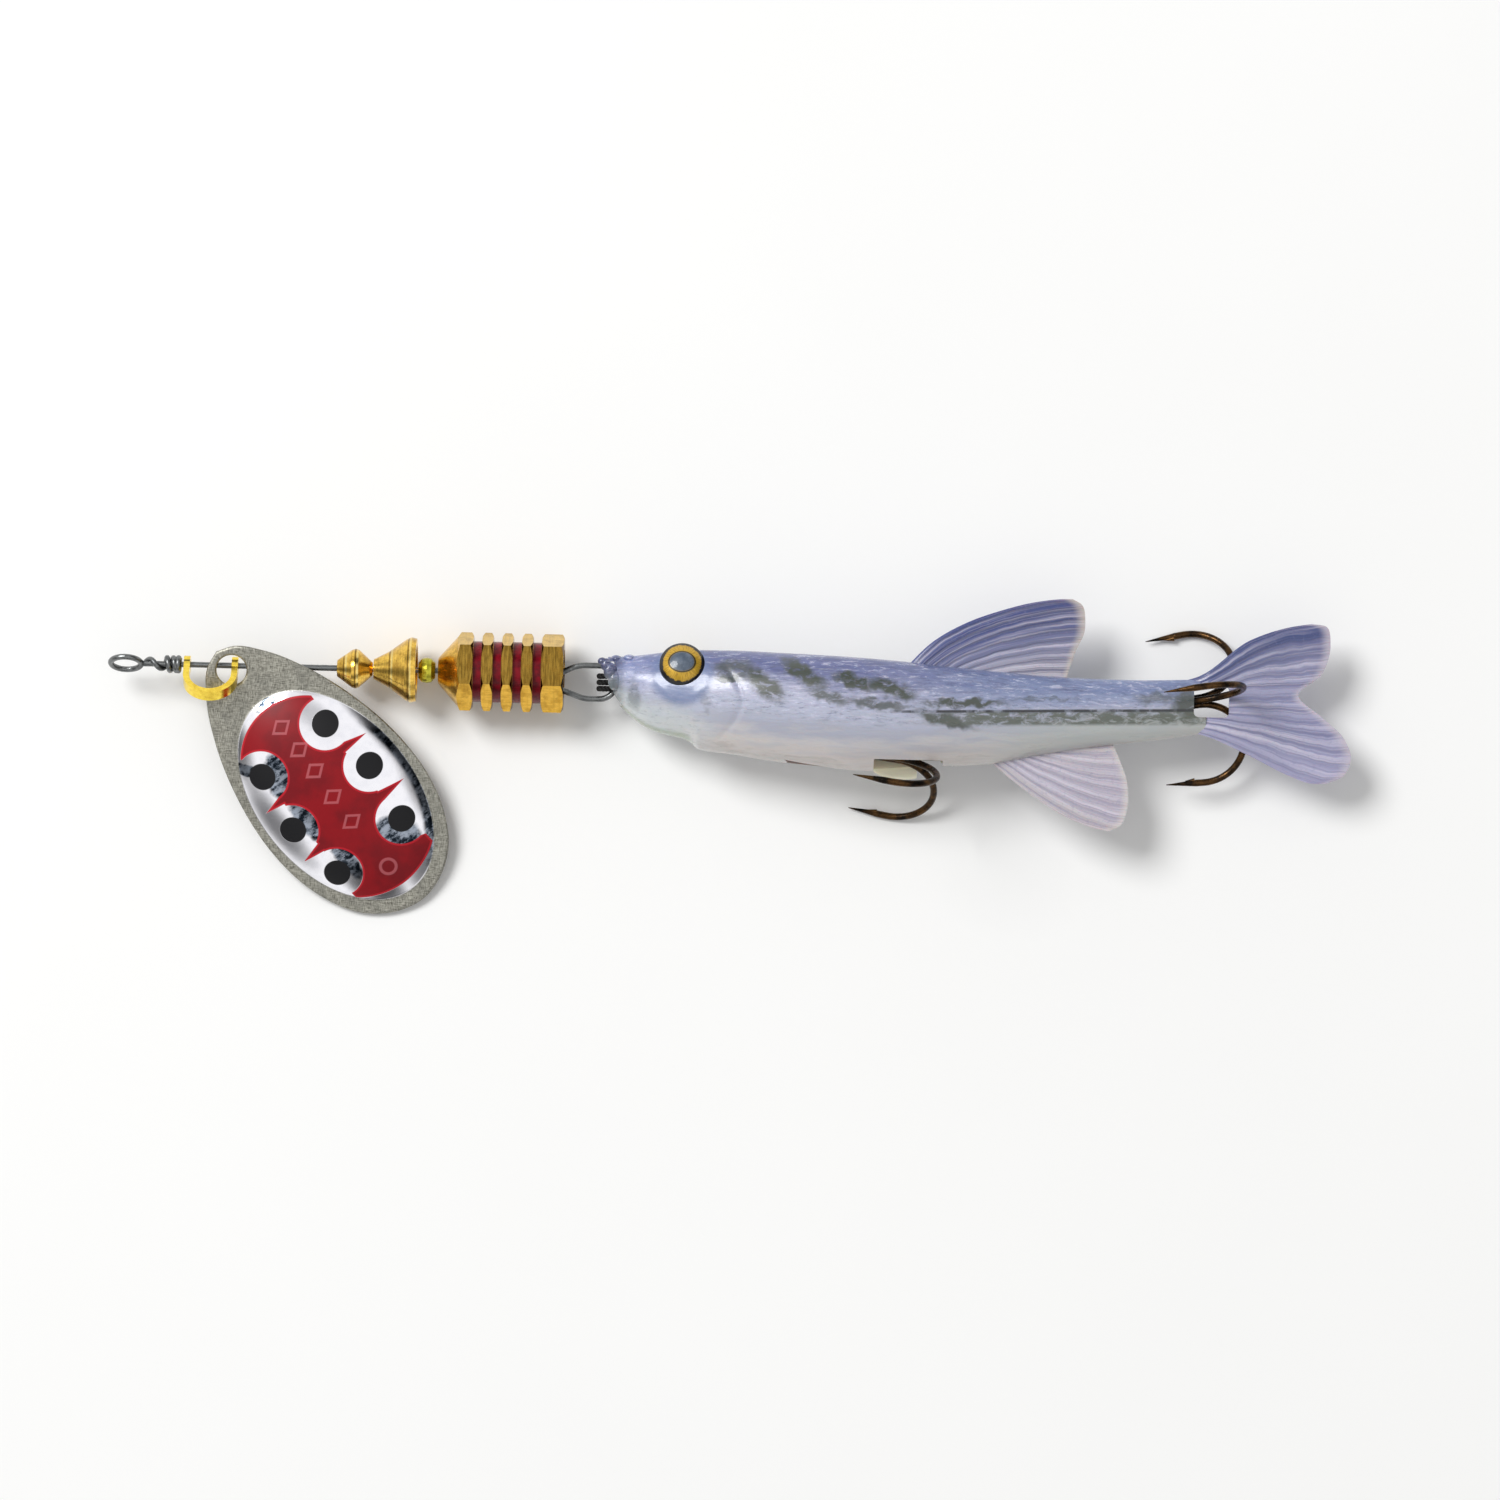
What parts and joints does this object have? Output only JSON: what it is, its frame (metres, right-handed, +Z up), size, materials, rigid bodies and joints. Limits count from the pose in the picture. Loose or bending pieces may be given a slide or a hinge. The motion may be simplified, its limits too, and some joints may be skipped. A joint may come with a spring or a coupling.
{
  "type": "inline spinner fishing lure",
  "caption": "Inline spinner lure: dished blade on a wire shaft with turned brass pieces, a ringed hexagonal weight and a soft minnow with treble hooks.",
  "frame": {"origin": "centre of the line eye, on the shaft's axis", "axes": "+X along the shaft from the line eye towards the tail, +Y towards the minnow's back, +Z up from the surface that the lure lies on"},
  "size_m": [0.1195, 0.0319, 0.0148],
  "materials": {
    "wire": "dark drawn stainless spring wire",
    "clevis_brass": "bright polished brass strip",
    "blade_metal": "silver plated brass, matte textured rim and a polished printed dome",
    "brass": "polished turned brass",
    "bead_brass": "greenish polished brass",
    "weight_brass": "polished brass with red painted grooves",
    "cord": "black braided cord",
    "harness_steel": "dark steel wire",
    "crimp_metal": "blackened brass sleeve",
    "hook_bronze": "bronzed high carbon steel",
    "soft_plastic": "soft translucent vinyl with a mottled minnow pattern",
    "eye_plastic": "clear domed eye over a gold ring and a dark pupil"
  },
  "bodies": {
    "shaft": {"shaft_wire": "wire"},
    "clevis": {"clevis": "clevis_brass"},
    "blade": {"blade": "blade_metal"},
    "front_bead": {"front_bead": "brass"},
    "bell": {"bell": "brass"},
    "spacer_bead": {"spacer_bead": "bead_brass"},
    "weight": {"hex_weight": "weight_brass"},
    "lashing": {"cord_lashing": "cord"},
    "minnow": {"harness_wire": "harness_steel", "front_crimp": "crimp_metal", "tail_crimp": "crimp_metal", "minnow_body": "soft_plastic", "left_eye": "eye_plastic", "right_eye": "eye_plastic"},
    "belly_hook": {"belly_treble_double": "hook_bronze", "belly_treble_single": "hook_bronze"},
    "tail_hook": {"tail_treble_double": "hook_bronze", "tail_treble_single": "hook_bronze"}
  },
  "joints": [
    {"name": "clevis_spin", "type": "hinge", "parent": "shaft", "child": "clevis", "pos_m": [0.0082, 0, 0], "axis": [1, 0, 0], "continuous": true},
    {"name": "blade_swing", "type": "hinge", "parent": "clevis", "child": "blade", "pos_m": [0.0082, -0.0012, 0.0012], "axis": [0, -0.7071, -0.7071], "range_deg": [0, 70]},
    {"name": "front_bead_spin", "type": "hinge", "parent": "shaft", "child": "front_bead", "pos_m": [0.022, 0, 0], "axis": [1, 0, 0], "continuous": true},
    {"name": "bell_spin", "type": "hinge", "parent": "shaft", "child": "bell", "pos_m": [0.0258, 0, 0], "axis": [1, 0, 0], "continuous": true},
    {"name": "spacer_bead_spin", "type": "hinge", "parent": "shaft", "child": "spacer_bead", "pos_m": [0.0289, 0, 0], "axis": [1, 0, 0], "continuous": true},
    {"name": "weight_spin", "type": "hinge", "parent": "shaft", "child": "weight", "pos_m": [0.036, 0, 0], "axis": [1, 0, 0], "continuous": true},
    {"name": "lashing_swing", "type": "hinge", "parent": "shaft", "child": "lashing", "pos_m": [0.0455, -0.00075, 0], "axis": [0, 0, 1], "range_deg": [-15, 15]},
    {"name": "minnow_pitch", "type": "hinge", "parent": "lashing", "child": "minnow", "pos_m": [0.04775, -0.00075, 0], "axis": [0, 1, 0], "range_deg": [-12, 12]},
    {"name": "belly_hook_swing", "type": "hinge", "parent": "minnow", "child": "belly_hook", "pos_m": [0.05905, -0.00507, 0.0025], "axis": [-0.0119, -0.2306, -0.973], "range_deg": [0, 15]},
    {"name": "tail_hook_swing", "type": "hinge", "parent": "minnow", "child": "tail_hook", "pos_m": [0.08785, -0.0035, 0.00245], "axis": [0, 0, 1], "range_deg": [-2, 2]}
  ]
}
